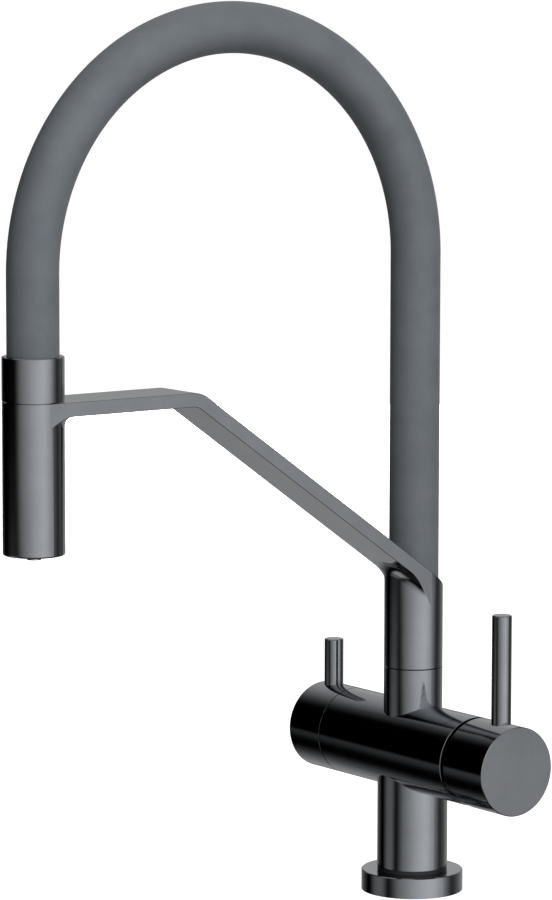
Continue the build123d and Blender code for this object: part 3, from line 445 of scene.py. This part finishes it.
def shankTree(material):
    # A hollow shank turned from one row of points: four corners at its foot, then rows that climb as a
    # thread, then three corners that close the top and the bore
    start, size = newGeometryTree("shankRule", shankSizes)
    rowsBefore, rowsPerTurn, rowsAfter = 4, 4, 3
    threadRows = size["Thread turns"] * rowsPerTurn
    grid, row, turn = sheetOfPoints(start, threadRows + (rowsBefore + rowsAfter), size["Turns"])
    corner = row.atMost(rowsBefore) + (row - (threadRows + (rowsBefore - 1))).atLeast(0.0)
    count = row - rowsBefore
    quarter = count % rowsPerTurn
    # Four rows to a turn give a root and a crest, each a sixth of the pitch wide, with flanks between them
    level = count / rowsPerTurn + (count % 2 + 1) / 12 + turn - 1.5
    z = (size["Thread bottom"] + level * size["Pitch"]).atLeast(size["Thread bottom"]).atMost(size["Top"])
    root = size["Crest radius"] - size["Thread depth"]
    crest = 1 - (quarter > 0.5) * (quarter < 2.5)
    runOut = ((z - size["Thread bottom"]).atMost(size["Top"] - z) / size["Pitch"]).atMost(1.0)
    pilotEdge = root - size["Bevel"]
    bottom = size["Bottom"]
    corners = [
        (size["Bore radius"], bottom),
        (pilotEdge, bottom),
        (root, bottom + size["Bevel"]),
        (root, size["Thread bottom"]),
        (root + crest * runOut * size["Thread depth"], z),
        (root, size["Top"]),
        (size["Bore radius"], size["Top"]),
        (size["Bore radius"], bottom),
    ]
    choices = {0: corner}
    for place, (cornerRadius, cornerHeight) in enumerate(corners):
        choices[place + 1] = start.join(cornerRadius, cornerHeight, 0.0)
    picked = start.node("GeometryNodeIndexSwitch", {"data_type": "VECTOR", "items": len(corners)}, choices)
    radius, height = picked.split()[:2]
    angle = turn * math.tau
    turned = start.join(radius * angle.maths("COSINE", angle), radius * angle.maths("SINE", angle), height)
    shape = start.node("GeometryNodeSetPosition", inputs={"Geometry": grid, "Position": turned})
    shape = start.node("GeometryNodeFlipFaces", inputs={"Mesh": shape})
    closeGeometry(start, shape, material)
    return start


shank = growPiece("threadedShank", shankTree(finishes["plain_brass"]), shankSizes)
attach(shank, "base")
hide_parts("threaded_shank")
print("shank:", len(shank.data.polygons), "faces")


# Angles in degrees: turns from the camera's side, positive to its right, and heights above the horizon.
# A pair of angles is a soft edge, from none to all
studio = {
    "cameraSide": -36.2,
    "brightest": 1.4,
    "softbox": [
        (-180, 0.3), (-165, 0.2), (-150, 0.08), (-135, 0.0), (-72, 0.0), (-64, 0.04),
        (-56, 0.16), (-46, 0.36), (-36, 0.5), (-18, 0.7), (0, 0.95), (20, 1.17),
        (38, 1.3), (50, 1.24), (60, 1.04), (72, 0.79), (84, 0.36), (96, 0.1),
        (104, 0.07), (118, 0.16), (135, 0.32), (150, 0.45), (180, 0.3),
    ],
    "softboxFoot": (-46.0, -22.0),
    "lowShift": {"most": 12.0, "turn": (-45.0, 40.0), "height": (-10.0, -8.0)},
    "farGlow": {"level": 0.6, "turn": (150.0, 170.0), "height": (-2.0, 12.0)},
    "backWall": {
        "above": 0.62, "below": 0.43,
        "left": (-170.0, -118.0), "right": (95.0, 175.0), "slope": (14.0, 30.0),
    },
    "lowPanels": [
        {
            "level": 0.32,
            "left": (-116.0, -86.0), "right": (-78.0, -56.0), "top": (-11.5, -8.2), "bottom": (-27.0, -15.0),
        },
        {
            "level": 0.78,
            "left": (-110.0, -94.0), "right": (-68.0, -52.0), "top": (-29.0, -17.0), "bottom": (-52.0, -37.0),
        },
    ],
    "poles": {"overhead": 0.5, "underneath": 0.03, "slope": (44.0, 58.0)},
    "mattShare": 0.42,
    "lampCentre": (0.0, -0.1, 0.2),
}


def aboveAndBelow(z, above, below):
    # One level over the horizon and another under it
    return (z > 0.0) * (above - below) + below


def lowPanel(turn, height, panel):
    # A soft-edged patch of light under the horizon
    sides = turn.step(*panel["left"]) * (1 - turn.step(*panel["right"]))
    return sides * (1 - height.step(*panel["top"])) * height.step(*panel["bottom"]) * panel["level"]


def studioWorld():
    # The white background is seen by the camera and by mirrors; mirrors see it past the studio's dark panels,
    # which leave a wide bright opening on the right
    world = bpy.data.worlds.new("studioWorld")
    bpy.context.scene.world = world
    world.use_nodes = True
    world.node_tree.nodes.clear()
    start = Wire(world.node_tree)
    ray = start.node("ShaderNodeTexCoord", output="Generated")
    side = math.radians(studio["cameraSide"])
    towards = start.vectors("DOT_PRODUCT", ray, (math.cos(side), math.sin(side), 0.0), output="Value")
    right = start.vectors("DOT_PRODUCT", ray, (-math.sin(side), math.cos(side), 0.0), output="Value")
    turn = right.maths("ARCTAN2", right, towards) * (180 / math.pi)
    z = ray.split()[2]
    height = z.maths("ARCSINE", z) * (180 / math.pi)
    slope = height.maths("ABSOLUTE", height)
    shift = studio["lowShift"]
    low = (1 - height.step(*shift["height"])) * (1 - turn.step(*shift["turn"])) * shift["most"]
    stops = [(angle / 360 + 0.5, level / studio["brightest"]) for angle, level in studio["softbox"]]
    ramp = start.node("ShaderNodeValToRGB", {"stops": stops}, {0: (turn - low) / 360 + 0.5})
    softbox = ramp * studio["brightest"] * height.step(*studio["softboxFoot"])
    behind = studio["farGlow"]
    around = turn.maths("ABSOLUTE", turn).step(*behind["turn"])
    glow = around * height.step(*behind["height"]) * behind["level"]
    back = studio["backWall"]
    sides = 1 - turn.step(*back["left"]) + turn.step(*back["right"])
    wall = sides * slope.step(*back["slope"]) * aboveAndBelow(z, back["above"], back["below"])
    level = softbox.atLeast(glow).atLeast(wall)
    for panel in studio["lowPanels"]:
        level = level + lowPanel(turn, height, panel)
    poles = studio["poles"]
    far = slope.step(*poles["slope"])
    level = level * (1 - far) + aboveAndBelow(z, poles["overhead"], poles["underneath"]) * far
    # The camera sees plain white, mirrors see the levels above, and matt surfaces get a share of them
    camera = start.node("ShaderNodeLightPath", output="Is Camera Ray")
    seen = camera.atLeast(camera.twin("Is Glossy Ray")).atLeast(camera.twin("Is Transmission Ray"))
    background = camera + level * (1 - camera)
    lit = level * (1 - camera.twin("Is Diffuse Ray") * (1 - studio["mattShare"]))
    level = background * seen + lit * (1 - seen)
    grey = start.join(level, level, level)
    light = start.node("ShaderNodeBackground", inputs={"Color": grey, "Strength": 1.0})
    start.node("ShaderNodeOutputWorld", inputs={"Surface": light})


lampSizes = {
    "keyLight": {"power": 36.0, "width": 1.2, "distance": 2.2, "side": 26.0, "height": 38.0},
    "backLight": {"power": 26.0, "width": 1.2, "distance": 2.2, "side": 180.0, "height": 8.0},
}


def studioLamp(name, sizes):
    # Large soft lamp for the matt pieces; the metal mirrors the studio's own wide lights instead of it
    data = bpy.data.lights.new(name, "AREA")
    data.shape = "DISK"
    data.size = sizes["width"]
    data.energy = sizes["power"]
    lamp = bpy.data.objects.new(name, data)
    bpy.context.scene.collection.objects.link(lamp)
    side = math.radians(studio["cameraSide"] + sizes["side"])
    height = math.radians(sizes["height"])
    away = Vector((math.cos(side) * math.cos(height), math.sin(side) * math.cos(height), math.sin(height)))
    place = Vector(studio["lampCentre"]) + away * sizes["distance"]
    lamp.matrix_world = Matrix.Translation(place) @ away.to_track_quat("Z", "Y").to_matrix().to_4x4()
    lamp.visible_glossy = False


studioWorld()
for lampName, lampSize in lampSizes.items():
    studioLamp(lampName, lampSize)
print("studio light ready")


floorLook = {
    "halfWidth": 40.0,
    "height": 0.0,
    "colour": (0.45, 0.45, 0.45, 1.0),
    "shown": (0.6, 0.6, 0.6, 1.0),
    "glow": 0.9,
}


def studioFloor():
    # Pale floor: it takes the object's soft shadow and reads as white to the camera, and mirrors show the
    # studio instead of it
    half = floorLook["halfWidth"]
    mesh = bpy.data.meshes.new("studioFloor")
    corners = [(x * half, y * half, floorLook["height"]) for x, y in ((-1, -1), (1, -1), (1, 1), (-1, 1))]
    mesh.from_pydata(corners, [], [(0, 1, 2, 3)])
    floor = bpy.data.objects.new("studioFloor", mesh)
    bpy.context.scene.collection.objects.link(floor)
    material = bpy.data.materials.new("paleFloor")
    material.use_nodes = True
    material.node_tree.nodes.clear()
    start = Wire(material.node_tree)
    seen = start.node("ShaderNodeLightPath", output="Is Camera Ray")
    mirrored = seen.twin("Is Glossy Ray").atLeast(seen.twin("Is Transmission Ray"))
    tone = seen.mix(floorLook["colour"], floorLook["shown"])
    matt = start.node("ShaderNodeBsdfDiffuse", inputs={"Color": tone})
    white = {"Color": (1.0, 1.0, 1.0, 1.0), "Strength": seen * floorLook["glow"]}
    glow = start.node("ShaderNodeEmission", inputs=white)
    shown = start.node("ShaderNodeAddShader", inputs={0: matt, 1: glow})
    clear = start.node("ShaderNodeBsdfTransparent")
    surface = start.node("ShaderNodeMixShader", inputs={0: mirrored, 1: shown, 2: clear})
    start.node("ShaderNodeOutputMaterial", inputs={"Surface": surface})
    mesh.materials.append(material)


studioFloor()
print("floor ready")


cameraView = {
    "place": (1.67319, -1.31105, 0.49306),
    "yaw": 53.815,
    "pitch": -7.140,
    "roll": 0.1,
    "focalPixels": 4214.8,
    "pictureHeight": 900,
    "filmHeight": 36.0,
    "farthest": 200.0,
}


def studioCamera():
    view = cameraView
    data = bpy.data.cameras.new("studioCamera")
    data.sensor_fit = "VERTICAL"
    data.sensor_height = view["filmHeight"]
    data.lens = view["focalPixels"] * view["filmHeight"] / view["pictureHeight"]
    data.clip_end = view["farthest"]
    camera = bpy.data.objects.new("studioCamera", data)
    bpy.context.scene.collection.objects.link(camera)
    yaw = Matrix.Rotation(math.radians(view["yaw"]), 4, "Z")
    pitch = Matrix.Rotation(math.radians(90 + view["pitch"]), 4, "X")
    roll = Matrix.Rotation(math.radians(view["roll"]), 4, "Z")
    camera.matrix_world = Matrix.Translation(Vector(view["place"])) @ yaw @ pitch @ roll
    bpy.context.scene.camera = camera


studioCamera()
bpy.context.scene.view_settings.view_transform = "Standard"
print("camera ready")
